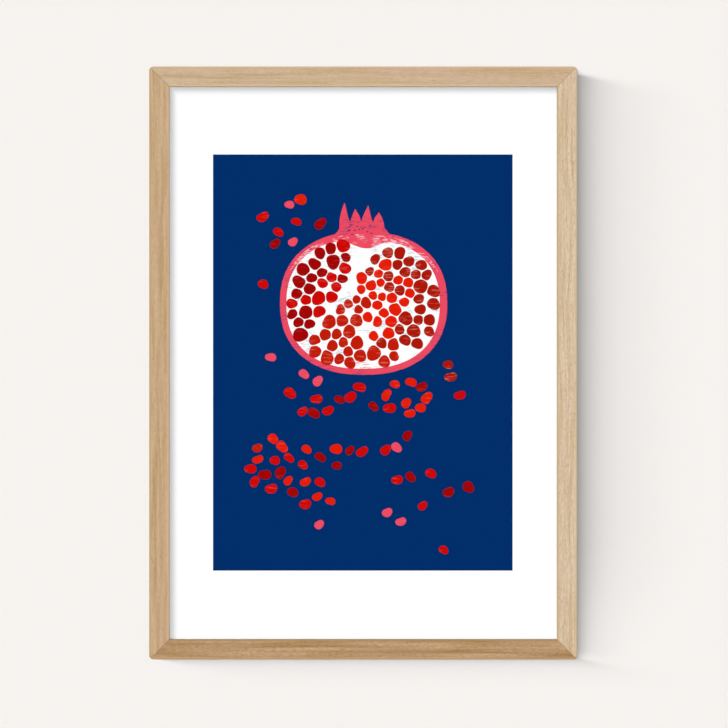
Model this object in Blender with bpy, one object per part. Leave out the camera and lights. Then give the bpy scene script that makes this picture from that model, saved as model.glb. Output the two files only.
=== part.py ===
"""A framed art print that hangs on a wall.

Four mitred oak rails hold a stack of sheets in their rebate: glazing, the print, a filler board and a
backing board. Turn buttons on the rails' backs keep the stack in, and a sawtooth hanger on the top rail
takes the wall nail.

Metres, +Z up. The front faces -Y and the wall is the plane y = 0. The origin is the middle notch of the
sawtooth hanger, on the wall plane.
"""

import math

import bmesh
import bpy
from mathutils import Vector

# The sheets: an A3 print and what lies before and behind it
PRINT_WIDTH = 0.297
PRINT_HEIGHT = 0.420
PRINT_THICKNESS = 0.0004
GLAZING_THICKNESS = 0.002
FILLER_THICKNESS = 0.005
BACKING_THICKNESS = 0.003
SHEET_CORNER = 0.0008  # the sheets' corners are slightly blunted
SHEET_CLEARANCE = 0.001  # from the sheets' edges to the rebate's wall

# The moulding
FACE_WIDTH = 0.015
SHEET_OVERLAP = 0.004  # how far the lip covers the sheets
LIP_DEPTH = 0.0074
CORNER_RADIUS = 0.003
FRONT_EASE = 0.001
BACK_EASE = 0.0006
EASE_STEPS = 3
CORNER_STEPS = 6  # even, so that one point lies on the mitre

FIT_GAP = 0.0003  # between pieces that touch
WALL_CLEARANCE = 0.0004  # from the screw heads to the wall
CUTTER_PROUD = 0.004  # how far a cutter stands out of what it cuts

# Turn buttons and their screws
BUTTON_WIDTH = 0.008
BUTTON_REACH = 0.018  # from the screw to the far tip
BUTTON_THICKNESS = 0.001
BUTTON_INSET = 0.080  # from the frame's corner to the screw
BUTTON_STEPS = 8
SCREW_HEAD_RADIUS = 0.003
SCREW_HEAD_FLAT = 0.002  # radius of the head's flat top
SCREW_HEAD_HEIGHT = 0.0016
SCREW_HEAD_RIM = 0.0006  # the straight part of its height
SCREW_RADIUS = 0.0014
SCREW_DEPTH = 0.010  # in the wood
SCREW_POINT = 0.003
SCREW_STEPS = 16
RECESS_SPAN = 0.0034
RECESS_WIDTH = 0.0008
RECESS_DEPTH = 0.0009

# Sawtooth hanger and its nails
HANGER_LENGTH = 0.044
HANGER_WIDTH = 0.0088
HANGER_THICKNESS = 0.0008
HANGER_EAR = 0.0055
HANGER_RAMP = 0.0025
TOOTH_PITCH = 0.0025
TOOTH_DEPTH = 0.0014
NAIL_RADIUS = 0.0007
NAIL_HEAD_RADIUS = 0.0017
NAIL_HEAD_FLAT = 0.0012
NAIL_HEAD_HEIGHT = 0.0006
NAIL_HEAD_RIM = 0.0003
NAIL_DEPTH = 0.009
NAIL_POINT = 0.0015
NAIL_STEPS = 12
HEAD_STEPS = 3  # round a head's shoulder

# V-shaped corner nails, driven in across each mitre from the back
CORNER_NAIL_WING = 0.006
CORNER_NAIL_THICKNESS = 0.0005
CORNER_NAIL_DEPTH = 0.009

# Felt bumpers at the lower corners
BUMPER_RADIUS = 0.0042
BUMPER_EASE = 0.0005
BUMPER_INSET = 0.017  # from the frame's side to the bumper's middle
BUMPER_STEPS = 20

# Worked out from the sizes above
SIGHT_WIDTH = PRINT_WIDTH - 2 * SHEET_OVERLAP
SIGHT_HEIGHT = PRINT_HEIGHT - 2 * SHEET_OVERLAP
OUTER_WIDTH = SIGHT_WIDTH + 2 * FACE_WIDTH
OUTER_HEIGHT = SIGHT_HEIGHT + 2 * FACE_WIDTH
LIP_WIDTH = SHEET_OVERLAP + SHEET_CLEARANCE
WALL_WIDTH = FACE_WIDTH - LIP_WIDTH  # the moulding's back, beside the rebate
STACK = (GLAZING_THICKNESS, PRINT_THICKNESS, FILLER_THICKNESS, BACKING_THICKNESS)
REBATE_DEPTH = sum(STACK) + len(STACK) * FIT_GAP
RAIL_DEPTH = LIP_DEPTH + REBATE_DEPTH
SCREW_HEAD_SEAT = FIT_GAP + BUTTON_THICKNESS + FIT_GAP  # behind the rails' backs
STAND_OFF = SCREW_HEAD_SEAT + SCREW_HEAD_HEIGHT + WALL_CLEARANCE
RAIL_BACK = -STAND_OFF
RAIL_FRONT = RAIL_BACK - RAIL_DEPTH
HALF_WIDTH = OUTER_WIDTH / 2
HALF_HEIGHT = OUTER_HEIGHT / 2
WALL_MIDDLE = WALL_WIDTH / 2  # from the frame's edge
HANGER_MIDDLE_Z = HANGER_WIDTH / 2 - TOOTH_DEPTH  # so that the middle notch is at z = 0
CENTRE_Z = HANGER_MIDDLE_Z + WALL_MIDDLE - HALF_HEIGHT

# Each rail, with the direction from the frame's middle to it
RAILS = {
    "top": Vector((0, 0, 1)),
    "bottom": Vector((0, 0, -1)),
    "left": Vector((-1, 0, 0)),
    "right": Vector((1, 0, 0)),
}
SIDES = {"left": -1, "right": 1}
LEVELS = {"top": 1, "bottom": -1}


def material(name, colour, roughness, metallic=0.0, alpha=1.0):
    made = bpy.data.materials.new(name)
    made.use_nodes = True
    shader = made.node_tree.nodes["Principled BSDF"]
    shader.inputs["Base Color"].default_value = (*colour, 1.0)
    shader.inputs["Roughness"].default_value = roughness
    shader.inputs["Metallic"].default_value = metallic
    shader.inputs["Alpha"].default_value = alpha
    made.diffuse_color = (*colour, alpha)
    return made


def add_object(name, bm, finish, place=(0, 0, 0), turn=0.0, smooth=False):
    """Makes the finished mesh an object at place, turned about Y."""
    bmesh.ops.remove_doubles(bm, verts=bm.verts[:], dist=1e-6)
    bmesh.ops.recalc_face_normals(bm, faces=bm.faces[:])
    mesh = bpy.data.meshes.new(name)
    bm.to_mesh(mesh)
    bm.free()
    if smooth:
        mesh.shade_smooth()
        mesh.set_sharp_from_angle(angle=math.radians(35))
    if finish is not None:
        mesh.materials.append(finish)
    made = bpy.data.objects.new(name, mesh)
    made.location = place
    made.rotation_euler = (0, turn, 0)
    bpy.context.collection.objects.link(made)
    return made


def cut(target, cutter):
    """Takes the cutter's shapes, which may be several apart, out of target."""
    cutter.hide_render = True
    cutter.display_type = "WIRE"
    modifier = target.modifiers.new(cutter.name, "BOOLEAN")
    modifier.operation = "DIFFERENCE"
    modifier.solver = "EXACT"
    modifier.object = cutter


def add_prism(bm, outline, front, back):
    """Extrudes a closed outline of (x, z) points from y = front to y = back."""
    verts = [bm.verts.new((x, front, z)) for x, z in outline]
    face = bm.faces.new(verts)
    swept = bmesh.ops.extrude_face_region(bm, geom=[face])["geom"]
    moved = [item for item in swept if isinstance(item, bmesh.types.BMVert)]
    bmesh.ops.translate(bm, verts=moved, vec=(0, back - front, 0))


def add_turned(bm, profile, steps, place=(0, 0, 0)):
    """Turns (radius, y) points about the Y axis. The profile starts and ends on the axis."""
    centre = Vector(place)
    points = [centre + Vector((radius, y, 0)) for radius, y in profile]
    verts = [bm.verts.new(point) for point in points]
    edges = [bm.edges.new(pair) for pair in zip(verts, verts[1:])]
    bmesh.ops.spin(
        bm,
        geom=verts + edges,
        cent=centre,
        axis=(0, 1, 0),
        angle=2 * math.pi,
        steps=steps,
        use_merge=True,
    )
    bmesh.ops.remove_doubles(bm, verts=bm.verts[:], dist=1e-6)


def pin_profile(radius, depth, point, seat, head):
    """A screw's or nail's (radius, y) profile: a point, a shank up to the seat, and a head with a
    straight rim and a rounded shoulder. The head is its radius, flat, height and rim."""
    head_radius, flat, height, rim = head
    profile = [(0, -depth), (radius, point - depth), (radius, seat), (head_radius, seat)]
    for i in range(HEAD_STEPS + 1):
        angle = math.pi / 2 * i / HEAD_STEPS
        across = flat + (head_radius - flat) * math.cos(angle)
        profile.append((across, seat + rim + (height - rim) * math.sin(angle)))
    return profile + [(0, seat + height)]


def hole_profile(radius, depth, proud, point=0.0):
    """The profile of a hole for that pin, wider and deeper by the fit gap."""
    wide = radius + FIT_GAP
    bottom = -depth - FIT_GAP
    return [(0, bottom), (wide, bottom + point), (wide, proud), (0, proud)]


def arc(middle, radius, start, end, steps):
    """Points on an arc from angle start to angle end, in degrees."""
    angles = [math.radians(start + (end - start) * i / steps) for i in range(steps + 1)]
    return [(middle[0] + radius * math.cos(a), middle[1] + radius * math.sin(a)) for a in angles]


# The moulding


def moulding_section():
    """The moulding's closed section: how far in from the frame's outer edge, and y."""
    front = RAIL_FRONT
    back = RAIL_BACK
    ease = FRONT_EASE
    section = arc((ease, front + ease), ease, 180, 270, EASE_STEPS)
    section += arc((FACE_WIDTH - ease, front + ease), ease, 270, 360, EASE_STEPS)
    section.append((FACE_WIDTH, front + LIP_DEPTH))
    section.append((WALL_WIDTH, front + LIP_DEPTH))
    section.append((WALL_WIDTH, back))
    section += arc((BACK_EASE, back - BACK_EASE), BACK_EASE, 90, 180, EASE_STEPS)
    return section


def frame_loop(inset):
    """The frame's outer outline moved in by inset, as (x, z) points. Its corners are round until
    inset passes their radius."""
    radius = max(CORNER_RADIUS - inset, 0)
    from_edge = max(CORNER_RADIUS, inset)
    loop = []
    for quarter, (side, level) in enumerate(((1, 1), (-1, 1), (-1, -1), (1, -1))):
        middle = (side * (HALF_WIDTH - from_edge), CENTRE_Z + level * (HALF_HEIGHT - from_edge))
        loop += arc(middle, radius, 90 * quarter, 90 * quarter + 90, CORNER_STEPS)
    return loop


def whole_frame():
    """The moulding carried round the frame as one closed ring."""
    bm = bmesh.new()
    loops = [
        [bm.verts.new((x, y, z)) for x, z in frame_loop(inset)] for inset, y in moulding_section()
    ]
    count = len(loops[0])
    for this, following in zip(loops, loops[1:] + loops[:1]):
        for i in range(count):
            j = (i + 1) % count
            bm.faces.new((this[i], this[j], following[j], following[i]))
    bmesh.ops.remove_doubles(bm, verts=bm.verts[:], dist=1e-6)
    bmesh.ops.recalc_face_normals(bm, faces=bm.faces[:])
    return bm


def cut_mitre(bm, corner, normal):
    """Keeps what lies behind the mitre plane, half a gap back from it, and closes the cut."""
    plane = corner - normal * (FIT_GAP / 2)
    everything = bm.verts[:] + bm.edges[:] + bm.faces[:]
    bmesh.ops.bisect_plane(bm, geom=everything, plane_co=plane, plane_no=normal, clear_outer=True)
    rim = [edge for edge in bm.edges if edge.is_boundary]
    bmesh.ops.edgeloop_fill(bm, edges=rim)


def rail_bmesh(outward):
    """One side of the frame, between its two mitres."""
    bm = whole_frame()
    along = Vector((outward.z, 0, -outward.x))
    middle = Vector((0, 0, CENTRE_Z))
    size = Vector((HALF_WIDTH, 0, HALF_HEIGHT))
    for end in (along, -along):
        corner = middle + (outward + end) * size
        cut_mitre(bm, corner, (end - outward).normalized())
    return bm


def corner_nail_outline(side, level, grow):
    """The V nail at a corner, thicker all round by grow. Its wings run along the rails' middles."""
    thick = CORNER_NAIL_THICKNESS / 2 + grow
    tip = CORNER_NAIL_WING + grow
    corner_x = HALF_WIDTH - WALL_MIDDLE
    corner_z = HALF_HEIGHT - WALL_MIDDLE
    shape = [(-thick, -thick), (tip, -thick), (tip, thick), (thick, thick), (thick, tip), (-thick, tip)]
    return [(side * (corner_x - x), CENTRE_Z + level * (corner_z - z)) for x, z in shape]


def button_places(name):
    """Where the two screws of a rail's turn buttons are, with a word for each."""
    outward = RAILS[name]
    if outward.z:
        x = HALF_WIDTH - BUTTON_INSET
        z = CENTRE_Z + outward.z * (HALF_HEIGHT - WALL_MIDDLE)
        return {"left": Vector((-x, RAIL_BACK, z)), "right": Vector((x, RAIL_BACK, z))}
    x = outward.x * (HALF_WIDTH - WALL_MIDDLE)
    z = HALF_HEIGHT - BUTTON_INSET
    return {
        "upper": Vector((x, RAIL_BACK, CENTRE_Z + z)),
        "lower": Vector((x, RAIL_BACK, CENTRE_Z - z)),
    }


def hanger_nail_place(side):
    return Vector((side * (HANGER_LENGTH - HANGER_EAR) / 2, RAIL_BACK, HANGER_MIDDLE_Z))


def add_rail(name, finish):
    rail = add_object(f"{name}_rail", rail_bmesh(RAILS[name]), finish, smooth=True)
    holes = bmesh.new()
    screw_hole = hole_profile(SCREW_RADIUS, SCREW_DEPTH, CUTTER_PROUD, SCREW_POINT)
    for place in button_places(name).values():
        add_turned(holes, screw_hole, SCREW_STEPS, place)
    if name == "top":
        nail_hole = hole_profile(NAIL_RADIUS, NAIL_DEPTH, CUTTER_PROUD, NAIL_POINT)
        for side in SIDES.values():
            add_turned(holes, nail_hole, NAIL_STEPS, hanger_nail_place(side))
    slot_floor = RAIL_BACK - CORNER_NAIL_DEPTH - 2 * FIT_GAP
    for side in SIDES.values():
        for level in LEVELS.values():
            if SIDES.get(name, side) == side and LEVELS.get(name, level) == level:
                slot = corner_nail_outline(side, level, FIT_GAP)
                add_prism(holes, slot, slot_floor, RAIL_BACK + CUTTER_PROUD)
    cut(rail, add_object(f"{name}_rail_cuts", holes, None))


def add_corner_nails(finish):
    """Each nail sits just under the wood's back."""
    back = RAIL_BACK - FIT_GAP
    for level_name, level in LEVELS.items():
        for side_name, side in SIDES.items():
            bm = bmesh.new()
            add_prism(bm, corner_nail_outline(side, level, 0), back - CORNER_NAIL_DEPTH, back)
            add_object(f"corner_nail_{level_name}_{side_name}", bm, finish)


# The sheets in the rebate


def sheet_outline():
    """A sheet's outline with its corners blunted."""
    x = PRINT_WIDTH / 2
    z = PRINT_HEIGHT / 2
    outline = []
    for side, level in ((1, 1), (-1, 1), (-1, -1), (1, -1)):
        blunted = [(x, z - SHEET_CORNER), (x - SHEET_CORNER, z)]
        if side != level:
            blunted.reverse()
        outline += [(side * px, CENTRE_Z + level * pz) for px, pz in blunted]
    return outline


def add_sheets(finishes):
    """The stack, from the lip towards the back, a fit gap before each sheet."""
    names = ("glazing", "art_print", "filler_board", "backing_board")
    front = RAIL_FRONT + LIP_DEPTH
    for name, thickness, finish in zip(names, STACK, finishes):
        front += FIT_GAP
        bm = bmesh.new()
        add_prism(bm, sheet_outline(), front, front + thickness)
        add_object(name, bm, finish)
        front += thickness


# Turn buttons


def button_bmesh():
    """A flat strip with round ends, its screw hole at the origin, pointing down."""
    half = BUTTON_WIDTH / 2
    straight = BUTTON_REACH - half
    outline = arc((0, 0), half, 0, 180, BUTTON_STEPS)
    outline += arc((0, -straight), half, 180, 360, BUTTON_STEPS)
    bm = bmesh.new()
    add_prism(bm, outline, FIT_GAP, FIT_GAP + BUTTON_THICKNESS)
    return bm


def screw_bmesh():
    """A pan-head screw along Y, its shank's wood line at the origin and its head at +Y."""
    head = (SCREW_HEAD_RADIUS, SCREW_HEAD_FLAT, SCREW_HEAD_HEIGHT, SCREW_HEAD_RIM)
    bm = bmesh.new()
    profile = pin_profile(SCREW_RADIUS, SCREW_DEPTH, SCREW_POINT, SCREW_HEAD_SEAT, head)
    add_turned(bm, profile, SCREW_STEPS)
    return bm


def recess_bmesh():
    """The cross that the driver fits, sunk from the head's top."""
    arm = RECESS_SPAN / 2
    w = RECESS_WIDTH / 2
    quarter = [(arm, -w), (arm, w), (w, w)]
    outline = []
    for _ in range(4):
        outline += quarter
        quarter = [(-z, x) for x, z in quarter]
    top = SCREW_HEAD_SEAT + SCREW_HEAD_HEIGHT
    bm = bmesh.new()
    add_prism(bm, outline, top - RECESS_DEPTH, top + RECESS_DEPTH)
    return bm


def add_buttons(steel, zinc):
    """Two buttons on each rail, pointing in over the backing board. Each turns about its screw."""
    for rail, outward in RAILS.items():
        turn = math.atan2(outward.x, outward.z)
        for word, place in button_places(rail).items():
            name = f"{rail}_{word}"
            button = add_object(f"turn_button_{name}", button_bmesh(), steel, place, turn, smooth=True)
            hole = bmesh.new()
            add_turned(hole, hole_profile(SCREW_RADIUS, 0, CUTTER_PROUD), SCREW_STEPS, place)
            cut(button, add_object(f"button_hole_{name}", hole, None))
            screw = add_object(f"button_screw_{name}", screw_bmesh(), zinc, place, turn, smooth=True)
            cut(screw, add_object(f"screw_recess_{name}", recess_bmesh(), None, place, turn))


# Sawtooth hanger


def hanger_stations():
    """Places along half the hanger, from its middle out: x, lower edge, upper edge and how far it
    is bent off its seat. The lower edge zigzags under the bridge."""
    low = HANGER_MIDDLE_Z - HANGER_WIDTH / 2
    high = HANGER_MIDDLE_Z + HANGER_WIDTH / 2
    rise = STAND_OFF - FIT_GAP - HANGER_THICKNESS
    bridge = HANGER_LENGTH / 2 - HANGER_EAR - HANGER_RAMP
    teeth = int(bridge / TOOTH_PITCH)
    stations = []
    for i in range(2 * teeth + 1):
        notch = TOOTH_DEPTH if i % 2 == 0 else 0
        stations.append((i * TOOTH_PITCH / 2, low + notch, high, rise))
    stations.append((bridge, low, high, rise))
    stations.append((bridge + HANGER_RAMP, low, high, 0))
    stations.append((HANGER_LENGTH / 2 - HANGER_THICKNESS, low, high, 0))
    stations.append((HANGER_LENGTH / 2, low + HANGER_THICKNESS, high - HANGER_THICKNESS, 0))
    return stations


def hanger_bmesh():
    half = hanger_stations()
    stations = [(-x, low, high, rise) for x, low, high, rise in reversed(half[1:])] + half
    bm = bmesh.new()
    rings = []
    for x, low, high, rise in stations:
        front = RAIL_BACK + FIT_GAP + rise
        back = front + HANGER_THICKNESS
        corners = ((front, low), (front, high), (back, high), (back, low))
        rings.append([bm.verts.new((x, y, z)) for y, z in corners])
    for this, following in zip(rings, rings[1:]):
        for i in range(4):
            j = (i + 1) % 4
            bm.faces.new((this[i], this[j], following[j], following[i]))
    bm.faces.new(rings[0])
    bm.faces.new(rings[-1])
    return bm


def add_hanger(steel):
    hanger = add_object("sawtooth_hanger", hanger_bmesh(), steel)
    holes = bmesh.new()
    seat = FIT_GAP + HANGER_THICKNESS + FIT_GAP
    head = (NAIL_HEAD_RADIUS, NAIL_HEAD_FLAT, NAIL_HEAD_HEIGHT, NAIL_HEAD_RIM)
    for side_name, side in SIDES.items():
        place = hanger_nail_place(side)
        add_turned(holes, hole_profile(NAIL_RADIUS, 0, CUTTER_PROUD), NAIL_STEPS, place)
        bm = bmesh.new()
        add_turned(bm, pin_profile(NAIL_RADIUS, NAIL_DEPTH, NAIL_POINT, seat, head), NAIL_STEPS)
        add_object(f"hanger_nail_{side_name}", bm, steel, place, smooth=True)
    cut(hanger, add_object("hanger_holes", holes, None))


def add_bumpers(felt):
    """Round pads between the bottom rail and the wall."""
    front = RAIL_BACK + FIT_GAP
    edge = BUMPER_RADIUS - BUMPER_EASE
    profile = [(0, front), (BUMPER_RADIUS, front), (BUMPER_RADIUS, -BUMPER_EASE), (edge, 0), (0, 0)]
    for side_name, side in SIDES.items():
        x = side * (HALF_WIDTH - BUMPER_INSET)
        z = CENTRE_Z - HALF_HEIGHT + WALL_MIDDLE
        bm = bmesh.new()
        add_turned(bm, profile, BUMPER_STEPS)
        add_object(f"wall_bumper_{side_name}", bm, felt, (x, 0, z), smooth=True)


def build():
    for item in list(bpy.data.objects):
        bpy.data.objects.remove(item)
    oak = {
        "top": material("oak_top", (0.60, 0.43, 0.27), 0.55),
        "bottom": material("oak_bottom", (0.48, 0.29, 0.15), 0.55),
        "left": material("oak_left", (0.56, 0.38, 0.22), 0.55),
        "right": material("oak_right", (0.66, 0.50, 0.34), 0.55),
    }
    clear = material("clear_glass", (0.95, 0.97, 0.96), 0.05, alpha=0.2)
    paper = material("art_paper", (0.90, 0.90, 0.90), 0.85)
    card = material("corrugated_card", (0.45, 0.31, 0.18), 0.9)
    fibreboard = material("fibreboard", (0.36, 0.24, 0.14), 0.8)
    steel = material("nickelled_steel", (0.62, 0.61, 0.58), 0.32, metallic=1.0)
    zinc = material("zinc_steel", (0.55, 0.55, 0.54), 0.38, metallic=1.0)
    felt = material("felt", (0.30, 0.29, 0.28), 0.95)
    for name in RAILS:
        add_rail(name, oak[name])
    add_corner_nails(zinc)
    add_sheets((clear, paper, card, fibreboard))
    add_buttons(steel, zinc)
    add_hanger(steel)
    add_bumpers(felt)
    bpy.context.view_layer.update()


build()
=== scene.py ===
import math
import random

import bmesh
import bpy
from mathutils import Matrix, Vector, geometry


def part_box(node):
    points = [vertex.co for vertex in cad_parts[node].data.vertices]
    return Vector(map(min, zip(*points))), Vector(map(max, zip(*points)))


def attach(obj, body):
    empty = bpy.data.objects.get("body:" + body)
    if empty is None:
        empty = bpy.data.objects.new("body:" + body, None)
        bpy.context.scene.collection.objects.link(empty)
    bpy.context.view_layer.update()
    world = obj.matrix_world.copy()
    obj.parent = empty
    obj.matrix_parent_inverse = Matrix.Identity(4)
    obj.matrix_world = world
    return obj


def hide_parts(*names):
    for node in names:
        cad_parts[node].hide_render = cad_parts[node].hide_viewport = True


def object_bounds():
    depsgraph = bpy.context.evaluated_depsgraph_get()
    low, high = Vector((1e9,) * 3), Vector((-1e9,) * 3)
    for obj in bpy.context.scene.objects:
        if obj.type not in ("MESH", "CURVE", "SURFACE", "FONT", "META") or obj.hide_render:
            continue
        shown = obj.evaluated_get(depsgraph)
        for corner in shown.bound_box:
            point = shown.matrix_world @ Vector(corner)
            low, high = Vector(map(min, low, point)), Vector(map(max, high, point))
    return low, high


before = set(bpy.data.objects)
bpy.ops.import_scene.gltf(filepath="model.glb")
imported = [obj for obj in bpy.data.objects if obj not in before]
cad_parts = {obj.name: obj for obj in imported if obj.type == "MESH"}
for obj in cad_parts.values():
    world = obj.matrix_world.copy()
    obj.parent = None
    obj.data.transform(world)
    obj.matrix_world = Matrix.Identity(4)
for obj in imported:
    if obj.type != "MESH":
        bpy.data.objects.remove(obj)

# A framed art print that hangs on a wall. X runs to the right, Z up, and the wall is at Y = 0.
# Lengths are metres, apart from those of the picture and of the grain, which are millimetres.

CAD_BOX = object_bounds()
MM = 0.001

SHEET_LOW, SHEET_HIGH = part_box("art_print")
FRAME_LOW = Vector((CAD_BOX[0].x, CAD_BOX[0].y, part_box("bottom_rail")[0].z))
FRAME_HIGH = Vector((CAD_BOX[1].x, CAD_BOX[1].y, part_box("top_rail")[1].z))
FRAME_MIDDLE = (FRAME_LOW + FRAME_HIGH) / 2
# How wide the moulding is, seen from the front.
FACE_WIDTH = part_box("top_rail")[1].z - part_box("top_rail")[0].z


# ---------------------------------------------------------------- colours and nodes

def colour(code):
    """The linear RGBA of an sRGB hex value."""
    parts = [int(code[place:place + 2], 16) / 255 for place in (1, 3, 5)]
    linear = [c / 12.92 if c <= 0.04045 else ((c + 0.055) / 1.055) ** 2.4 for c in parts]
    return (*linear, 1.0)


def grey(level):
    """A linear grey, for the stops of a mask."""
    return (level, level, level, 1.0)


def add(tree, kind, inputs=None, stops=None, **options):
    """Adds a node. Each input is a value, or another node's output to link it to."""
    made = tree.nodes.new("ShaderNode" + kind)
    for name, value in options.items():
        setattr(made, name, value)
    if stops:
        elements = made.color_ramp.elements
        while len(elements) < len(stops):
            elements.new(1.0)
        for element, (place, tint) in zip(elements, stops):
            element.position = place
            element.color = tint
    for name, value in (inputs or {}).items():
        if isinstance(value, bpy.types.NodeSocket):
            tree.links.new(value, made.inputs[name])
        else:
            made.inputs[name].default_value = value
    return made


def empty_material(name):
    """A new material and its node tree, with no nodes in it."""
    made = bpy.data.materials.new(name)
    made.use_nodes = True
    made.node_tree.nodes.clear()
    return made, made.node_tree


def start_material(name, **shader_values):
    """A new material with its surface shader. Returns the material, its node tree and the shader."""
    made, tree = empty_material(name)
    shader = add(tree, "BsdfPrincipled", {k.replace("_", " "): v for k, v in shader_values.items()})
    add(tree, "OutputMaterial", {"Surface": shader.outputs[0]})
    return made, tree, shader


def put_in_scene(name, data):
    """Puts a mesh, a lamp or a camera into the scene as an object."""
    made = bpy.data.objects.new(name, data)
    bpy.context.scene.collection.objects.link(made)
    return made


def per_mm(x, y, z):
    """Cycles per metre along each axis, from the size in millimetres of one cycle."""
    return (1000 / x, 1000 / y, 1000 / z)


def along_grain(axis, length, width):
    """The size of one cycle of a pattern that is drawn out along the grain."""
    return per_mm(*[length if place == axis else width for place in range(3)])


# ---------------------------------------------------------------- oak

def oak(name, axis, inner, outer, look):
    """European oak, planed and sanded, with one coat of clear matt lacquer.

    The growth rings give soft bands along the rail, the fibres a fine streak inside them, and the
    open pores short dark flecks. The eased edges of the face get tones of their own: painted light on
    edges that turn away from the window, and painted shade on those that turn towards it. inner and
    outer are where the face starts and ends, across the grain.
    """
    made, tree, shader = start_material(name, Roughness=0.55, Specular_IOR_Level=0.25)
    place = add(tree, "TexCoord").outputs["Object"]
    # Rings wander by a few millimetres over the length of a hand.
    drift = add(tree, "VectorMath", {0: place, 1: along_grain(axis, *look["drift"])}, operation="MULTIPLY")
    wander = add(tree, "TexNoise", {"Vector": drift.outputs[0], "Scale": 1.0, "Detail": 1.0})
    across = [0.0 if spot == axis else look["wander"] * MM for spot in range(3)]
    bent = add(tree, "VectorMath", {0: wander.outputs["Color"], 1: across, 2: place},
               operation="MULTIPLY_ADD").outputs[0]
    patterns = {}
    for part in ("rings", "fibres", "pores", "blush"):
        length, width, detail = look[part]
        spread = add(tree, "VectorMath", {0: bent, 1: along_grain(axis, length, width)},
                     operation="MULTIPLY")
        patterns[part] = add(tree, "TexNoise", {"Vector": spread.outputs[0], "Scale": 1.0,
                                                "Detail": detail, "Roughness": 0.55}).outputs[0]
    rings = add(tree, "ValToRGB", {"Fac": patterns["rings"]},
                [(0.34, colour(look["late"])), (0.5, colour(look["middle"])), (0.66, colour(look["early"]))])
    blush = add(tree, "ValToRGB", {"Fac": patterns["blush"]}, [(0.45, grey(0)), (0.68, grey(0.6))])
    rosy = add(tree, "Mix", {0: blush.outputs[0], 6: rings.outputs[0], 7: colour(look["rosy"])},
               data_type="RGBA")
    streak = add(tree, "ValToRGB", {"Fac": patterns["fibres"]},
                 [(0.3, grey(1 - look["streak"])), (0.7, grey(1.0))])
    streaked = add(tree, "Mix", {0: 1.0, 6: rosy.outputs[2], 7: streak.outputs[0]},
                   data_type="RGBA", blend_type="MULTIPLY")
    flecks = add(tree, "ValToRGB", {"Fac": patterns["pores"]},
                 [(look["pore_from"], grey(0)), (look["pore_from"] + 0.14, grey(look["pore_depth"]))])
    flecked = add(tree, "Mix", {0: flecks.outputs[0], 6: streaked.outputs[2], 7: colour(look["pore"])},
                  data_type="RGBA")
    parts = add(tree, "SeparateXYZ", {"Vector": place})
    face = add(tree, "MapRange", {"Value": parts.outputs[2 if axis == 0 else 0],
                                  "From Min": inner, "From Max": outer})
    front = add(tree, "MapRange", {"Value": parts.outputs[1], "From Min": FRAME_LOW.y + 2.0 * MM,
                                   "From Max": FRAME_LOW.y + 0.8 * MM, "To Max": 0.85})
    # Painted light and shade: the eased front edges take the rail's inner and outer tones, lighter on edges
    # that turn away from the window and darker on those that turn towards it.
    with_painted_edge_tone = flecked.outputs[2]
    for painted_edge_tone, stops in (("inner", [(0.05, grey(1)), (0.12, grey(0))]),
                        ("outer", [(0.89, grey(0)), (0.95, grey(1))])):
        edge = add(tree, "ValToRGB", {"Fac": face.outputs[0]}, stops)
        share = add(tree, "Math", {0: edge.outputs[0], 1: front.outputs[0]}, operation="MULTIPLY")
        with_painted_edge_tone = add(tree, "Mix", {0: share.outputs[0], 6: with_painted_edge_tone, 7: colour(look[painted_edge_tone])},
                    data_type="RGBA").outputs[2]
    tree.links.new(with_painted_edge_tone, shader.inputs["Base Color"])
    relief = add(tree, "Math", {0: patterns["fibres"], 1: flecks.outputs[0]}, operation="SUBTRACT")
    bump = add(tree, "Bump", {"Strength": 0.25, "Distance": 0.0001, "Height": relief.outputs[0]})
    tree.links.new(bump.outputs[0], shader.inputs["Normal"])
    return made


# The rails' tones differ by painted light and shade: the bottom rail is darker and the right rail lighter.
# The sizes are millimetres along and across the grain.
# Oak's own pores are 0.3 mm wide, which is too fine to show, so they are drawn 0.7 mm wide.
QUARTER_SAWN = {
    "drift": (70.0, 16.0), "wander": 4.0, "rings": (60.0, 2.4, 2.0), "fibres": (4.5, 0.7, 2.0),
    "pores": (3.2, 0.7, 1.0), "blush": (70.0, 8.0, 1.0), "streak": 0.15, "pore": "#9A7752",
    "pore_from": 0.60, "pore_depth": 0.35,
}
# Each rail's tones are painted shade and painted light on one oak: the bottom rail darker, the right rail
# lighter, and the inner and outer tones of the eased edges painted light and shade as well.
RAIL_OAK_WITH_PAINTED_LIGHT = {
    "top_rail": QUARTER_SAWN | {
        "rings": (80.0, 2.0, 2.0), "early": "#CFB699", "middle": "#C9AF8D", "late": "#C2A57F",
        "rosy": "#D0B197", "inner": "#DEBE90", "outer": "#CDAE88",
    },
    "left_rail": QUARTER_SAWN | {
        "early": "#CFB18E", "middle": "#C5A781", "late": "#B89770", "rosy": "#C9A686",
        "inner": "#D6B189", "outer": "#BB996C",
    },
    "right_rail": QUARTER_SAWN | {
        "drift": (70.0, 24.0), "wander": 6.0, "rings": (90.0, 2.0, 2.0), "fibres": (5.0, 0.65, 2.0),
        "pores": (2.8, 0.7, 1.0), "pore_from": 0.55, "pore_depth": 0.36, "streak": 0.2,
        "early": "#E0CBB1", "middle": "#D8C1A2", "late": "#CBB08D", "rosy": "#DBC1A6",
        "inner": "#C4A77B", "outer": "#D3B88F", "pore": "#A27F5A",
    },
    "bottom_rail": QUARTER_SAWN | {
        "drift": (60.0, 14.0), "wander": 3.0, "rings": (120.0, 3.0, 2.0), "fibres": (3.6, 0.8, 2.0),
        "pores": (2.6, 0.8, 1.0), "streak": 0.24, "pore_from": 0.55, "pore_depth": 0.4,
        "early": "#C9A882", "middle": "#BA976E", "late": "#A37D50", "rosy": "#BF9B75",
        "inner": "#AA875C", "outer": "#C9A26D", "pore": "#89643C",
    },
}


# ---------------------------------------------------------------- glass, paper and ink

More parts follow.
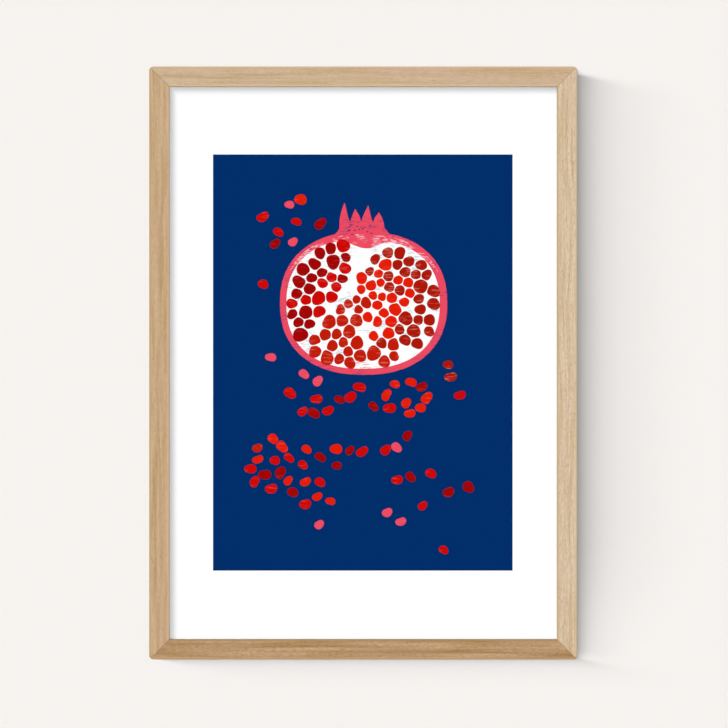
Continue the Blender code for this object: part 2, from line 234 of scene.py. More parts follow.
def coated_glass():
    """Picture glass with an anti-reflective coating: clear, with a faint sheen at a slanting sight."""
    made, tree = empty_material("anti_reflective_picture_glass")
    fresnel = add(tree, "Fresnel", {"IOR": 1.35})
    side = add(tree, "NewGeometry")
    outside = add(tree, "Math", {0: 1.0, 1: side.outputs["Backfacing"]}, operation="SUBTRACT")
    share = add(tree, "Math", {0: fresnel.outputs[0], 1: outside.outputs[0]}, operation="MULTIPLY")
    clear = add(tree, "BsdfTransparent", {"Color": colour("#FFFFFF")})
    gloss = add(tree, "BsdfAnisotropic", {"Color": colour("#FFFFFF"), "Roughness": 0.02})
    mixed = add(tree, "MixShader", {0: share.outputs[0], 1: clear.outputs[0], 2: gloss.outputs[0]})
    add(tree, "OutputMaterial", {"Surface": mixed.outputs[0]})
    return made


def paper():
    """Uncoated cotton print paper, calendered: bright white, matt, with a faint tooth of about 1 mm."""
    made, tree, shader = start_material("cotton_print_paper", Roughness=0.9, Specular_IOR_Level=0.1)
    place = add(tree, "TexCoord").outputs["Object"]
    tooth = add(tree, "TexNoise", {"Vector": place, "Scale": 900.0, "Detail": 2.0})
    tint = add(tree, "ValToRGB", {"Fac": tooth.outputs[0]},
               [(0.2, colour("#F7F7F7")), (0.7, colour("#FAFAFA"))])
    tree.links.new(tint.outputs[0], shader.inputs["Base Color"])
    bump = add(tree, "Bump", {"Strength": 0.1, "Distance": 0.00004, "Height": tooth.outputs[0]})
    tree.links.new(bump.outputs[0], shader.inputs["Normal"])
    return made


def ink(name, base, marks, length=9.0, width=0.9, start=0.6, strength=0.8, patch=(0.42, 0.6)):
    """Pigment ink of a picture that was painted with a dry brush, so that it dries matt and streaky.

    The brush's hairs leave streaks about 1 mm apart. They lie in patches, where the brush ran dry.
    """
    made, tree, shader = start_material(name, Roughness=0.85, Specular_IOR_Level=0.1)
    place = add(tree, "TexCoord").outputs["Object"]
    drawn = add(tree, "VectorMath", {0: place, 1: per_mm(length, 20.0, width)}, operation="MULTIPLY")
    hairs = add(tree, "TexNoise", {"Vector": drawn.outputs[0], "Scale": 1.0, "Detail": 2.0,
                                   "Roughness": 0.6})
    streaks = add(tree, "ValToRGB", {"Fac": hairs.outputs[0]},
                  [(start, grey(0)), (start + 0.06, grey(strength))])
    dry = add(tree, "TexNoise", {"Vector": place, "Scale": 110.0, "Detail": 1.0})
    patches = add(tree, "ValToRGB", {"Fac": dry.outputs[0]}, [(patch[0], grey(0)), (patch[1], grey(1))])
    both = add(tree, "Math", {0: streaks.outputs[0], 1: patches.outputs[0]}, operation="MULTIPLY")
    mixed = add(tree, "Mix", {0: both.outputs[0], 6: colour(base), 7: colour(marks)}, data_type="RGBA")
    tree.links.new(mixed.outputs[2], shader.inputs["Base Color"])
    return made


# ---------------------------------------------------------------- boards, steel and felt

def corrugated_card():
    """Kraft-faced corrugated card: brown liner with stray darker fibres about 1 mm long."""
    made, tree, shader = start_material("kraft_corrugated_card", Roughness=0.9, Specular_IOR_Level=0.15)
    place = add(tree, "TexCoord").outputs["Object"]
    drawn = add(tree, "VectorMath", {0: place, 1: per_mm(2.2, 2.2, 0.8)}, operation="MULTIPLY")
    fibres = add(tree, "TexNoise", {"Vector": drawn.outputs[0], "Scale": 1.0, "Detail": 3.0})
    tint = add(tree, "ValToRGB", {"Fac": fibres.outputs[0]},
               [(0.35, colour("#8C6B49")), (0.5, colour("#A9865F")), (0.7, colour("#B8966F"))])
    tree.links.new(tint.outputs[0], shader.inputs["Base Color"])
    return made


def hardboard():
    """Hardboard, pressed from wood fibre: brown and smooth, mottled by fibre bundles 1 to 3 mm long."""
    made, tree, shader = start_material("pressed_hardboard", Roughness=0.6, Specular_IOR_Level=0.3)
    place = add(tree, "TexCoord").outputs["Object"]
    bent = add(tree, "TexNoise", {"Vector": place, "Scale": 260.0, "Detail": 1.0})
    curl = add(tree, "VectorMath", {0: bent.outputs["Color"], 1: (0.004,) * 3, 2: place},
               operation="MULTIPLY_ADD")
    drawn = add(tree, "VectorMath", {0: curl.outputs[0], 1: per_mm(3.2, 3.2, 0.9)}, operation="MULTIPLY")
    fibres = add(tree, "TexNoise", {"Vector": drawn.outputs[0], "Scale": 1.0, "Detail": 4.0,
                                    "Roughness": 0.65})
    clouds = add(tree, "TexNoise", {"Vector": place, "Scale": 22.0, "Detail": 2.0})
    tint = add(tree, "ValToRGB", {"Fac": fibres.outputs[0]},
               [(0.3, colour("#5E4128")), (0.47, colour("#7E5B3B")), (0.6, colour("#8F6B48")),
                (0.75, colour("#AC8A64"))])
    shade = add(tree, "ValToRGB", {"Fac": clouds.outputs[0]}, [(0.3, grey(0.82)), (0.7, grey(1.0))])
    mixed = add(tree, "Mix", {0: 1.0, 6: tint.outputs[0], 7: shade.outputs[0]},
                data_type="RGBA", blend_type="MULTIPLY")
    tree.links.new(mixed.outputs[2], shader.inputs["Base Color"])
    bump = add(tree, "Bump", {"Strength": 0.3, "Distance": 0.00008, "Height": fibres.outputs[0]})
    tree.links.new(bump.outputs[0], shader.inputs["Normal"])
    return made


def plated_steel(name, bright, dull, rough_low, rough_high, cell):
    """Stamped steel with a bright plating: cloudy in its gloss, with hairline scratches along X."""
    made, tree, shader = start_material(name, Metallic=1.0)
    place = add(tree, "TexCoord").outputs["Object"]
    clouds = add(tree, "TexNoise", {"Vector": place, "Scale": 1000 / cell, "Detail": 3.0})
    tint = add(tree, "ValToRGB", {"Fac": clouds.outputs[0]}, [(0.35, colour(dull)), (0.65, colour(bright))])
    tree.links.new(tint.outputs[0], shader.inputs["Base Color"])
    gloss = add(tree, "MapRange", {"Value": clouds.outputs[0], "From Min": 0.3, "From Max": 0.7,
                                   "To Min": rough_high, "To Max": rough_low})
    tree.links.new(gloss.outputs[0], shader.inputs["Roughness"])
    drawn = add(tree, "VectorMath", {0: place, 1: per_mm(8.0, 0.3, 0.3)}, operation="MULTIPLY")
    scratches = add(tree, "TexNoise", {"Vector": drawn.outputs[0], "Scale": 1.0, "Detail": 2.0})
    bump = add(tree, "Bump", {"Strength": 0.2, "Distance": 0.00003, "Height": scratches.outputs[0]})
    tree.links.new(bump.outputs[0], shader.inputs["Normal"])
    return made


def felt():
    """Pressed wool felt: no gloss, a soft nap that lightens at grazing sight, and tangled fibres."""
    made, tree, shader = start_material("pressed_wool_felt", Roughness=1.0, Specular_IOR_Level=0.05,
                                        Sheen_Weight=0.4, Sheen_Roughness=0.5)
    place = add(tree, "TexCoord").outputs["Object"]
    fibres = add(tree, "TexNoise", {"Vector": place, "Scale": 1600.0, "Detail": 4.0, "Distortion": 1.5})
    tint = add(tree, "ValToRGB", {"Fac": fibres.outputs[0]},
               [(0.3, colour("#8B857A")), (0.55, colour("#B5AFA3")), (0.75, colour("#D0CBBF"))])
    tree.links.new(tint.outputs[0], shader.inputs["Base Color"])
    bump = add(tree, "Bump", {"Strength": 0.6, "Distance": 0.0003, "Height": fibres.outputs[0]})
    tree.links.new(bump.outputs[0], shader.inputs["Normal"])
    return made


# ---------------------------------------------------------------- the picture's outlines, in millimetres

def bulge(part, power):
    """A sine or cosine, pushed out towards 1 as the shape that it draws gets squarer."""
    return math.copysign(abs(part) ** (2 / power), part)


def rounded(middle, half_width, half_height, power, count, ragged=0.0, draw=None):
    """The outline of a rounded shape: power 2 is an ellipse, more is squarer. ragged roughens it."""
    outline = []
    for step in range(count):
        angle = step / count * math.tau
        c, s = math.cos(angle), math.sin(angle)
        rough = 1 + (draw.uniform(-ragged, ragged) if draw else 0.0)
        outline.append((middle[0] + bulge(c, power) * half_width * rough,
                        middle[1] + bulge(s, power) * half_height * rough))
    return outline


def oblong(left, right, low, high):
    """A rectangle."""
    return [(left, low), (right, low), (right, high), (left, high)]


HEART = (-1.0, 53.0)
# A rounded shape is its middle, half its width and height, and its power.
FRUIT = ((0.3, 44.6), 62.4, 53.4, 2.3)
PITH = ((-0.1, 44.1), 57.2, 48.4, 2.35)
SEED_ROOM = ((-0.1, 44.1), 53.2, 44.2, 2.35)
NAVY_FIELD = (-112.1, 111.5, -155.0, 155.6)
# The white walls between the chambers of seeds: two ends, and how far a seed's middle keeps off.
WALLS = [
    ((-2.0, 97.0), (-4.0, 73.0), 9.5),
    ((-4.0, 73.0), (-13.0, 54.0), 6.2),
    ((-13.0, 54.0), (-30.0, 33.0), 5.2),
    ((-30.0, 33.0), (-52.0, 7.0), 5.2),
    ((1.5, 25.0), (4.0, -8.0), 4.6),
    ((31.0, 10.0), (42.0, -4.0), 7.0),
]


def pith_outline():
    """The pith's edge, with a ragged dip under the crown where the rind is thick."""
    outline = []
    draw = random.Random(11)
    for x, z in rounded(*PITH, 150):
        if z > 60:
            dip = math.exp(-((x - 2.0) / 13.0) ** 2)
            z -= 7.0 * dip + draw.uniform(-0.5, 0.5) * min(1.0, 2.5 * dip)
        outline.append((x, z))
    return outline


def crown_outline():
    """The crown: a short neck that flares out of the fruit, and four pointed sepals of uneven height."""
    outline = []
    for step in range(9):
        outline.append((28.0 - 12.2 * (step / 8) ** 0.6, 91.0 + 10.0 * step / 8))
    tips = [(11.6, 112.5), (3.6, 117.5), (-6.0, 115.0), (-14.0, 119.5)]
    notches = [(7.4, 104.5), (-1.4, 105.5), (-9.8, 104.8)]
    outline += [(15.4, 104.5), (13.8, 109.0)]
    for place, (x, z) in enumerate(tips):
        outline += [(x + 0.4, z - 0.5), (x, z), (x - 0.6, z - 1.2)]
        if place < 3:
            low_x, low_z = notches[place]
            outline += [(low_x + 1.2, low_z + 4.0), (low_x, low_z), (low_x - 1.6, low_z + 4.6)]
    outline += [(-16.4, 113.0), (-17.6, 107.0)]
    for step in range(9):
        outline.append((-17.8 - 10.0 * (step / 8) ** 1.8, 101.0 - 9.0 * step / 8))
    return outline


def crescent(shape, first, last, thick, draw):
    """A ragged band that lies inside part of a rounded shape's edge, between two angles in degrees."""
    middle, half_width, half_height, power = shape
    outer = []
    inner = []
    for step in range(61):
        share = step / 60
        angle = math.radians(first + (last - first) * share)
        x = bulge(math.cos(angle), power) * half_width
        z = bulge(math.sin(angle), power) * half_height
        inwards = math.sin(math.pi * share) * thick * draw.uniform(0.7, 1.15) / math.hypot(x, z)
        outer.append((middle[0] + x, middle[1] + z))
        inner.append((middle[0] + x * (1 - inwards), middle[1] + z * (1 - inwards)))
    return outer + inner[::-1][1:-1]


def off_line(x, z, first, last):
    """How far a point is from a straight line between two ends."""
    run = (last[0] - first[0], last[1] - first[1])
    share = ((x - first[0]) * run[0] + (z - first[1]) * run[1]) / (run[0] ** 2 + run[1] ** 2)
    share = min(1.0, max(0.0, share))
    return math.hypot(x - first[0] - share * run[0], z - first[1] - share * run[1])


def holds_seed(x, z):
    """Whether a seed's middle may lie here inside the halved fruit."""
    middle, half_width, half_height, power = SEED_ROOM
    across, up = abs(x - middle[0]) / half_width, abs(z - middle[1]) / half_height
    if across ** power + up ** power > 1:
        return False
    if math.hypot((x - 2.0) / 17.0, (z - 88.0) / 10.0) < 1:
        return False
    return all(off_line(x, z, first, last) > clear for first, last, clear in WALLS)


SEEDS_THROWN = 12000
# How close two seeds may land, and how far apart they are pushed, as a share of their radii.
SEED_LANDING = 0.88
SEED_SPACING = 1.07


def fruit_seeds(draw):
    """Seeds packed into the chambers: thrown in one by one, then pushed apart until they lie evenly.

    A seed is its middle, its radius, how far it is drawn out, and which way it leans. Those near
    the heart are smaller, and all point to it.
    """
    seeds = []
    for _ in range(SEEDS_THROWN):
        x, z = draw.uniform(-60, 60), draw.uniform(-8, 95)
        from_heart = math.hypot(x - HEART[0], z - HEART[1])
        radius = (3.35 + 1.1 * min(1.0, from_heart / 36)) * draw.uniform(0.8, 1.18)
        free = all(math.hypot(x - a, z - b) > SEED_LANDING * (radius + r) for a, b, r, _, _ in seeds)
        if free and holds_seed(x, z):
            lean = math.atan2(z - HEART[1], x - HEART[0]) + draw.uniform(-0.7, 0.7)
            seeds.append((x, z, radius, draw.uniform(0.0, 0.16), lean))
    for push in [0.3] * 40 + [0.15] * 40:
        for place, (x, z, radius, long, lean) in enumerate(seeds):
            push_x = push_z = 0.0
            for other, (a, b, r, _, _) in enumerate(seeds):
                apart = math.hypot(x - a, z - b)
                wanted = SEED_SPACING * (radius + r)
                if other != place and apart < wanted:
                    push_x += (x - a) / apart * (wanted - apart) * push
                    push_z += (z - b) / apart * (wanted - apart) * push
            # A seed that is pushed against a wall slides along it.
            for move_x, move_z in ((push_x, push_z), (push_x, 0.0), (0.0, push_z)):
                if holds_seed(x + move_x, z + move_z):
                    seeds[place] = (x + move_x, z + move_z, radius, long, lean)
                    break
    return seeds


SEED_POINTS = 24
# How much of a gap is left on each side between two seeds that touch.
SEED_GAP = 0.3


def seed_outline(seed, others):
    """The edge of a seed, with its sides flattened where a neighbour lies close."""
    x, z, radius, long, lean = seed
    near = []
    for a, b, r, _, _ in others:
        apart = math.hypot(a - x, b - z)
        if 0 < apart < 3 * radius:
            near.append(((a - x) / apart, (b - z) / apart, apart * radius / (radius + r) - SEED_GAP))
    reach = []
    for step in range(SEED_POINTS):
        angle = step / SEED_POINTS * math.tau
        far = radius * (1.08 + long * math.cos(2 * (angle - lean)) - 0.07 * math.cos(3 * angle + lean))
        for toward_x, toward_z, limit in near:
            facing = toward_x * math.cos(angle) + toward_z * math.sin(angle)
            if facing > 0.1:
                far = min(far, limit / facing)
        reach.append(far)
    outline = []
    for step in range(SEED_POINTS):
        angle = step / SEED_POINTS * math.tau
        far = (reach[step - 1] + 2 * reach[step] + reach[(step + 1) % SEED_POINTS]) / 4
        outline.append((x + far * math.cos(angle), z + far * math.sin(angle)))
    return outline


def chamber_ink(x, z, draw):
    """Which ink a seed of the halved fruit is painted in: each chamber has its own reds."""
    rim = math.hypot((x - 1) / 52, (z - 44) / 44)
    chance = draw.random()
    if x < -8 and z > 62 + (x + 9.0) * 1.27:
        return "dark_red" if (rim > 0.8 and chance < 0.8) or chance < 0.2 else "red"
    if x < 3 and z < 52 or z < 14:
        return "brick"
    if rim > 0.8 or (rim > 0.5 and chance < 0.4) or chance < 0.15:
        return "dark_brick"
    return "vermilion"


def picture_layers():
    """Every painted shape in the order that it was laid down, as (ink, outline)."""
    draw = random.Random(715)
    sheet = oblong(SHEET_LOW.x / MM, SHEET_HIGH.x / MM,
                   (SHEET_LOW.z - SHEET_HIGH.z) / 2 / MM, (SHEET_HIGH.z - SHEET_LOW.z) / 2 / MM)
    left, right, low, high = NAVY_FIELD
    layers = [
        ("paper", sheet),
        ("deep_navy", oblong(left, right, low, high)),
        ("navy", oblong(left, right - 0.7, low + 0.7, high)),
        ("rind", crown_outline()),
        ("rind", rounded(*FRUIT, 160, ragged=0.002, draw=draw)),
        ("scumble", crescent((FRUIT[0], 60.0, 51.6, 2.3), 22, 158, 10.0, draw)),
        ("pith", pith_outline()),
        ("blush", crescent((PITH[0], 57.0, 48.2, 2.35), 200, 318, 6.0, draw)),
    ]
    for place in range(22):
        spot = (draw.uniform(-13, 10), 105.5 - draw.triangular(0, 11, 2))
        layers.append(("navy", rounded(spot, draw.uniform(0.35, 0.8), draw.uniform(0.3, 0.6), 2.0, 8)))
    packed = fruit_seeds(draw)
    layers += [(chamber_ink(seed[0], seed[1], draw), seed_outline(seed, packed)) for seed in packed]
    fallen = loose_seeds(draw)
    seeds = [seed for _, seed in fallen]
    layers += [(tint, seed_outline(seed, seeds)) for tint, seed in fallen]
    return layers


# Loose seeds: middle of the scatter, half its width and height, how many, and the chance of each ink.
SCATTERS = [
    ((-52.0, 104.0), (24.0, 22.0), 8, "dark_red red vermilion dark_red red pink"),
    ((-72.0, 36.0), (5.0, 40.0), 2, "red pink"),
    ((-34.0, -12.0), (26.0, 5.0), 2, "pink"),
    ((-24.0, -28.0), (34.0, 15.0), 9, "red dark_red red vermilion red"),
    ((31.0, -26.0), (18.0, 13.0), 9, "vermilion vermilion red vermilion dark_red"),
    ((-62.0, -76.0), (24.0, 21.0), 16, "red brick vermilion red dark_red vermilion"),
    ((-28.0, -66.0), (20.0, 12.0), 4, "vermilion red dark_red"),
    ((-38.0, -98.0), (20.0, 11.0), 4, "vermilion red"),
    ((16.0, -62.0), (26.0, 14.0), 4, "dark_red red pink"),
    ((52.0, -92.0), (28.0, 16.0), 6, "red red dark_red pink"),
    ((-10.0, -116.0), (50.0, 8.0), 3, "pink red pink"),
    ((62.0, -140.0), (16.0, 5.0), 1, "red"),
    ((76.0, -6.0), (16.0, 20.0), 3, "dark_brick red"),
]
# The least distance between the middles of two loose seeds.
FALLEN_APART = 8.2


def loose_seeds(draw):
    """The seeds that have fallen out of the fruit, in scatters: each one's ink, and the seed."""
    fallen = []
    for (x0, z0), (wide, high), count, inks in SCATTERS:
        wanted = len(fallen) + count
        for _ in range(900):
            x, z = x0 + draw.uniform(-wide, wide), z0 + draw.uniform(-high, high)
            inside = math.hypot((x - x0) / wide, (z - z0) / high) < 1.05
            clear_of_fruit = math.hypot(x / 68, (z - 44.6) / 59) > 1
            free = all(math.hypot(x - seed[0], z - seed[1]) > FALLEN_APART for _, seed in fallen)
            if inside and clear_of_fruit and free:
                tint = draw.choice(inks.split())
                radius = draw.uniform(3.0, 4.0) * (0.88 if tint == "pink" else 1.0)
                fallen.append((tint, (x, z, radius, draw.uniform(0.1, 0.28), draw.uniform(-0.8, 1.1))))
            if len(fallen) == wanted:
                break
    return fallen


def printed_sheet(inks):
    """The paper and its picture: one flat mesh cut by every outline, each face in the last ink laid."""
    layers = picture_layers()
    points = []
    loops = []
    for _, outline in layers:
        loops.append(list(range(len(points), len(points) + len(outline))))
        points += [Vector(point) for point in outline]
    corners, _, faces, _, _, sources = geometry.delaunay_2d_cdt(points, [], loops, 1, 1e-4, True)
    names = list(inks)
    middle = (SHEET_LOW + SHEET_HIGH) / 2
    mesh = bmesh.new()
    dots = [mesh.verts.new((middle.x + p.x * MM, SHEET_LOW.y, middle.z + p.y * MM)) for p in corners]
    for face, laid in zip(faces, sources):
        made = mesh.faces.new([dots[place] for place in face])
        made.material_index = names.index(layers[max(laid)][0])
    # The back of the sheet, and its four cut edges.
    rim = [dots[min(range(len(corners)), key=lambda n: (corners[n] - Vector(c)).length)]
           for c in layers[0][1]]
    back = [mesh.verts.new((dot.co.x, SHEET_HIGH.y, dot.co.z)) for dot in rim]
    mesh.faces.new(list(reversed(back)))
    for place in range(4):
        after = (place + 1) % 4
        mesh.faces.new([rim[place], back[place], back[after], rim[after]])
    bmesh.ops.recalc_face_normals(mesh, faces=mesh.faces)
    data = bpy.data.meshes.new("printed_sheet")
    mesh.to_mesh(data)
    mesh.free()
    for name in names:
        data.materials.append(inks[name])
    sheet = put_in_scene("printed_sheet", data)
    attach(sheet, "frame")
    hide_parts("art_print")
    return sheet


# ---------------------------------------------------------------- glue in the mitres

def wood_glue():
    """Wood glue, dried to a hard film: honey-brown and half clear, with small bubbles and wood dust."""
    made, tree, shader = start_material("dried_wood_glue", Roughness=0.45, Specular_IOR_Level=0.4)
    place = add(tree, "TexCoord").outputs["Object"]
    dust = add(tree, "TexNoise", {"Vector": place, "Scale": 1400.0, "Detail": 2.0})
    tint = add(tree, "ValToRGB", {"Fac": dust.outputs[0]},
               [(0.3, colour("#9C7B54")), (0.7, colour("#B99A72"))])
    tree.links.new(tint.outputs[0], shader.inputs["Base Color"])
    return made


def mitre_glue(glue):
    """A film of glue in the front of each mitre, just below the face, from the sight edge to the corner."""
    depth = 7.0 * MM
    half = 0.12 * MM
    sunk = 0.15 * MM
    front = FRAME_LOW.y + sunk
    # Along the joint, as a share of the way out, and how far behind the face. The ends follow the
    # eased edges of the moulding and the rounded corner.
    section = [(0.012, 1.0), (0.035, 0.45), (0.075, 0.0), (0.86, 0.0), (0.90, 0.4), (0.925, 1.0),
               (0.925, depth / MM), (0.012, depth / MM)]
    for name, side, up in (("top_left", -1, 1), ("top_right", 1, 1), ("bottom_left", -1, -1),
                           ("bottom_right", 1, -1)):
        corner = Vector((FRAME_HIGH.x if side > 0 else FRAME_LOW.x, 0.0,
                         FRAME_HIGH.z if up > 0 else FRAME_LOW.z))
        inside = corner - Vector((side * FACE_WIDTH, 0.0, up * FACE_WIDTH))
        across = Vector((side, 0.0, -up)).normalized() * half
        mesh = bmesh.new()
        rings = []
        for way in (-1, 1):
            ring = []
            for share, back in section:
                spot = inside.lerp(corner, share) + across * way
                ring.append(mesh.verts.new((spot.x, front + back * MM, spot.z)))
            rings.append(ring)
            mesh.faces.new(ring if way < 0 else list(reversed(ring)))
        for place in range(len(section)):
            after = (place + 1) % len(section)
            mesh.faces.new([rings[0][place], rings[1][place], rings[1][after], rings[0][after]])
        bmesh.ops.recalc_face_normals(mesh, faces=mesh.faces)
        data = bpy.data.meshes.new(f"mitre_glue_{name}")
        mesh.to_mesh(data)
        mesh.free()
        data.materials.append(glue)
        film = put_in_scene(f"mitre_glue_{name}", data)
        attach(film, "frame")


# ---------------------------------------------------------------- wall, light and camera

WALL_PAINT = "#EBE7E4"
WALL_HALF = 1.6
WALL_GAP = 0.3 * MM


def wall():
    """A wall in matt emulsion paint: an even warm white that doesn't shine.

    It is seen only from the front, so that the back of the frame can be looked at.
    """
    low, high, y = FRAME_MIDDLE.z - WALL_HALF, FRAME_MIDDLE.z + WALL_HALF, CAD_BOX[1].y + WALL_GAP
    data = bpy.data.meshes.new("wall")
    data.from_pydata([(-WALL_HALF, y, low), (WALL_HALF, y, low), (WALL_HALF, y, high),
                      (-WALL_HALF, y, high)], [], [(0, 1, 2, 3)])
    made, tree = empty_material("matt_wall_paint")
    paint = add(tree, "BsdfDiffuse", {"Color": colour(WALL_PAINT)})
    nothing = add(tree, "BsdfTransparent")
    side = add(tree, "NewGeometry")
    mixed = add(tree, "MixShader", {0: side.outputs["Backfacing"], 1: paint.outputs[0],
                                    2: nothing.outputs[0]})
    add(tree, "OutputMaterial", {"Surface": mixed.outputs[0]})
    data.materials.append(made)
    made_wall = put_in_scene("wall", data)
    made_wall.visible_shadow = False
    made_wall.visible_diffuse = False
    made_wall.visible_glossy = False
    return made_wall


LIGHT_LEVEL = 1.12
AMBIENT = 0.035
LAMP_DISTANCE = 3.0
# Soft daylight from a window on the left: the slope of each part of it sideways and downwards, its
# share of the light, and its width in degrees. The wall catches the low parts, which throw the
# long shadow, and the frame stands in the higher ones.
DAYLIGHT_ON_WALL = [
    (-0.04, -0.02, 0.198, 3.5),
    (0.09, 0.00, 0.140, 8.0),
    (0.24, 0.02, 0.115, 9.0),
    (0.45, 0.03, 0.110, 12.0),
    (0.72, 0.08, 0.097, 13.0),
    (1.15, 0.17, 0.085, 14.0),
    (1.90, 0.33, 0.055, 14.0),
    (3.10, 0.60, 0.045, 11.0),
]
# The share of it that comes back from the room, which reaches the wall behind the frame too, and how
# wide that light is, in degrees.
ROOM_ON_WALL = 0.12
ROOM_WIDTH = 10.0
DAYLIGHT_ON_FRAME = [
    (-0.10, -0.08, 0.050, 4.0),
    (0.00, 0.00, 0.490, 1.5),
    (0.16, 0.13, 0.075, 6.0),
    (0.27, 0.25, 0.100, 6.5),
    (0.39, 0.37, 0.105, 7.0),
    (0.51, 0.49, 0.090, 7.0),
    (0.64, 0.63, 0.060, 7.0),
]
# Soft lamps behind the wall's plane, which light only the sides and the back.
BACK_LAMPS = [
    ((-0.9, -1.0, -0.5), 1.9, 20.0),
    ((0.9, -1.0, -0.35), 1.5, 20.0),
    ((-1.0, -0.22, -0.15), 1.0, 20.0),
    ((1.0, -0.22, -0.15), 0.6, 20.0),
    ((0.0, -0.4, -1.0), 0.8, 20.0),
]
# The flags that shape the frame's shadow on the wall, in millimetres. The upright one stands at the
# frame's right side: how far down from the top, and how far it stands off the wall. The level one
# lies along the bottom: how far to the right of the frame's ends its own are, which is for the left
# end, the right end at the wall, and the right end at the front.
FLAG_STEPS = [(1.5, 0.5), (5.0, 3.5), (6.5, 22.6), (344.0, 22.6), (364.0, 21.0), (382.0, 18.5),
              (398.0, 15.5), (413.0, 13.0), (428.0, 11.5), (435.0, 10.5), (438.0, 6.0), (442.0, 3.0)]
FLAG_ENDS = (4.0, 1.0, -2.5)


def shadow_flags():
    """Thin plates that only shadows see: along the frame's right side and its bottom, and behind it."""
    data = bpy.data.meshes.new("shadow_flags")
    left, right, top, low = FRAME_LOW.x, FRAME_HIGH.x, FRAME_HIGH.z, FRAME_LOW.z
    near, deep = CAD_BOX[1].y, CAD_BOX[0].y
    points = []
    faces = []
    for down, reach in FLAG_STEPS:
        points += [(right, near, top - down * MM), (right, near - reach * MM, top - down * MM)]
    for step in range(len(FLAG_STEPS) - 1):
        faces.append((2 * step, 2 * step + 1, 2 * step + 3, 2 * step + 2))
    first, last, last_in_front = (end + off * MM for end, off in zip((left, right, right), FLAG_ENDS))
    inset = 0.5 * MM
    for corners in ([(first, near, low), (last, near, low), (last_in_front, deep, low), (first, deep, low)],
                    [(left + inset, near, low), (right, near, low), (right, near, top - inset),
                     (left + inset, near, top - inset)]):
        faces.append(tuple(range(len(points), len(points) + 4)))
        points += corners
    data.from_pydata(points, [], faces)
    flags = put_in_scene("shadow_flags", data)
    for ray in ("camera", "diffuse", "glossy", "transmission", "volume_scatter"):
        setattr(flags, f"visible_{ray}", False)
    return flags


def linked(name, thing, state):
    """A collection for a light's links, which takes in one thing alone, or leaves it out."""
    group = bpy.data.collections.new(name)
    group.objects.link(thing)
    group.collection_objects[0].light_linking.link_state = state
    return group


def lamp(name, direction, strength, width, lit, blocked):
    """A sun that shines in a direction, and is so many degrees wide. With blocked None, it has no shadow."""
    data = bpy.data.lights.new(name, "SUN")
    data.energy = strength
    data.angle = math.radians(width)
    data.use_shadow = blocked is not None
    made = put_in_scene(name, data)
    made.rotation_mode = "QUATERNION"
    made.rotation_quaternion = Vector(direction).to_track_quat("-Z", "Y")
    made.location = FRAME_MIDDLE - Vector(direction).normalized() * LAMP_DISTANCE
    made.visible_glossy = False
    made.light_linking.receiver_collection = lit
    made.light_linking.blocker_collection = blocked


def lights(painted_wall, flags):
    """Daylight on the wall and on the frame, lamps for the back, and a dim room."""
    wall_only = linked("wall_only", painted_wall, "INCLUDE")
    not_wall = linked("not_wall", painted_wall, "EXCLUDE")
    flags_only = linked("flags_only", flags, "INCLUDE")
    not_flags = linked("not_flags", flags, "EXCLUDE")
    for name, parts, lit, blocked in (("wall_daylight", DAYLIGHT_ON_WALL, wall_only, flags_only),
                                      ("frame_daylight", DAYLIGHT_ON_FRAME, not_wall, not_flags)):
        for place, (sideways, down, share, width) in enumerate(parts):
            direction = Vector((sideways, 1.0, -down))
            strength = math.pi * LIGHT_LEVEL * share / direction.normalized().y
            lamp(f"{name}_{place}", direction, strength, width, lit, blocked)
    room = math.pi * LIGHT_LEVEL * ROOM_ON_WALL
    lamp("room_on_wall", (0.0, 1.0, 0.0), room, ROOM_WIDTH, wall_only, None)
    for place, (direction, strength, width) in enumerate(BACK_LAMPS):
        lamp(f"back_lamp_{place}", direction, strength, width, not_wall, not_flags)
    world = bpy.data.worlds.new("pale_room")
    bpy.context.scene.world = world
    world.use_nodes = True
    tree = world.node_tree
    tree.nodes.clear()
    path = add(tree, "LightPath")
    toward = add(tree, "SeparateXYZ", {"Vector": add(tree, "TexCoord").outputs["Generated"]})
    mirrored = add(tree, "ValToRGB", {"Fac": add(tree, "MapRange", {
        "Value": toward.outputs[1], "From Min": -1.0, "From Max": 1.0}).outputs[0]},
        [(0.0, grey(0.02)), (0.06, grey(0.04)), (0.35, grey(0.6)), (1.0, grey(0.9))])
    unseen = add(tree, "Mix", {0: path.outputs["Is Glossy Ray"], 6: grey(AMBIENT), 7: mirrored.outputs[0]},
                 data_type="RGBA")
    seen = add(tree, "Mix", {0: path.outputs["Is Camera Ray"], 6: unseen.outputs[2], 7: colour("#F6F2EF")},
               data_type="RGBA")
    glow = add(tree, "Background", {"Color": seen.outputs[2]})
    add(tree, "OutputWorld", {"Surface": glow.outputs[0]})


def camera():
    """A long lens straight in front of the frame, far enough off to show its face alone."""
    distance = 8.0
    seen_width = 0.5427
    # The frame hangs a little to the left of the middle, and a little high.
    right, down = 0.6 * MM, 0.8 * MM
    data = bpy.data.cameras.new("camera")
    data.sensor_width = 36.0
    data.lens = data.sensor_width * distance / seen_width
    data.clip_end = 40.0
    made = put_in_scene("camera", data)
    made.location = (FRAME_MIDDLE.x + right, FRAME_LOW.y - distance, FRAME_MIDDLE.z - down)
    made.rotation_euler = (math.pi / 2, 0.0, 0.0)
    bpy.context.scene.camera = made
    bpy.context.scene.view_settings.view_transform = "Standard"


# ---------------------------------------------------------------- finish of every CAD piece

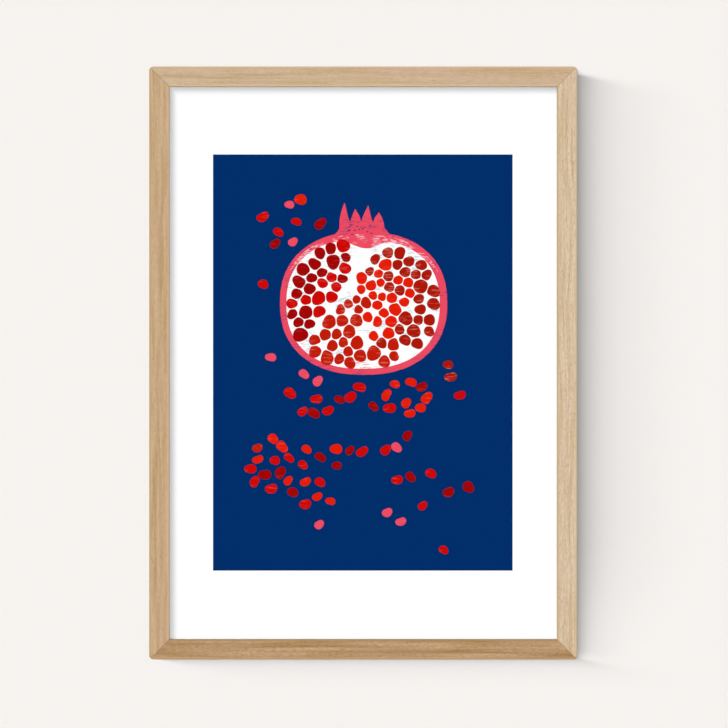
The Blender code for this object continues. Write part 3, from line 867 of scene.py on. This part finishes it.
def finish_nodes():
    """Gives each CAD piece its own material."""
    nickel = plated_steel("nickel_plated_steel", "#CFCBC2", "#A8A49B", 0.22, 0.38, 6.0)
    zinc = plated_steel("zinc_plated_steel", "#C3C8CC", "#8F969C", 0.28, 0.5, 2.5)
    glass = coated_glass()
    card = corrugated_card()
    board = hardboard()
    wool = felt()
    faces = {
        "top_rail": (0, FRAME_HIGH.z - FACE_WIDTH, FRAME_HIGH.z),
        "bottom_rail": (0, FRAME_LOW.z + FACE_WIDTH, FRAME_LOW.z),
        "left_rail": (2, FRAME_LOW.x + FACE_WIDTH, FRAME_LOW.x),
        "right_rail": (2, FRAME_HIGH.x - FACE_WIDTH, FRAME_HIGH.x),
    }
    for name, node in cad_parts.items():
        if name in RAIL_OAK_WITH_PAINTED_LIGHT:
            made = oak(f"lacquered_oak_painted_light_{name}", *faces[name], RAIL_OAK_WITH_PAINTED_LIGHT[name])
        elif name == "glazing":
            made = glass
        elif name == "filler_board":
            made = card
        elif name == "backing_board":
            made = board
        elif name.startswith("wall_bumper"):
            made = wool
        elif name.startswith(("button_screw", "corner_nail")):
            made = zinc
        else:
            made = nickel
        for slot in node.material_slots:
            slot.material = made
        # No piece throws tinted light on the wall and the sheet, where the soft daylight drowns it.
        node.visible_diffuse = False


INKS = {
    "paper": paper(),
    "deep_navy": ink("deep_navy_ink", "#00265C", "#002254"),
    "navy": ink("navy_ink", "#002C66", "#00316D", length=14.0, start=0.62, strength=0.4),
    "rind": ink("rind_pink_ink", "#E5485E", "#A0406A", length=7.0, width=0.75, start=0.54, strength=0.85,
                patch=(0.47, 0.58)),
    "scumble": ink("pale_rind_ink", "#E5485E", "#F6C3CB", length=4.0, width=0.8, start=0.50, strength=0.75,
                   patch=(0.38, 0.52)),
    "pith": ink("pith_white_ink", "#F7F7F7", "#AFC0CF", length=6.0, width=0.75, start=0.53, strength=0.7,
                patch=(0.47, 0.57)),
    "blush": ink("pink_tinged_white_ink", "#F7F7F7", "#E77F92", length=5.0, width=0.75, start=0.52,
                 strength=0.8, patch=(0.40, 0.52)),
    "dark_red": ink("dark_red_ink", "#9B0403", "#B8302C", width=0.8, start=0.58, strength=0.6),
    "red": ink("red_ink", "#C60704", "#E04A42", width=0.8, start=0.58, strength=0.6),
    "brick": ink("brick_red_ink", "#BB1A07", "#DC6450", width=0.8, start=0.55, strength=0.65,
                 patch=(0.42, 0.54)),
    "dark_brick": ink("dark_brick_ink", "#A61607", "#D06A58", width=0.8, start=0.55, strength=0.75,
                      patch=(0.40, 0.52)),
    "vermilion": ink("vermilion_ink", "#DD1C04", "#F25A48", width=0.8, start=0.59, strength=0.6),
    "pink": ink("pink_ink", "#E6495F", "#EE6A7C"),
}

finish_nodes()
printed_sheet(INKS)
mitre_glue(wood_glue())
lights(wall(), shadow_flags())
camera()
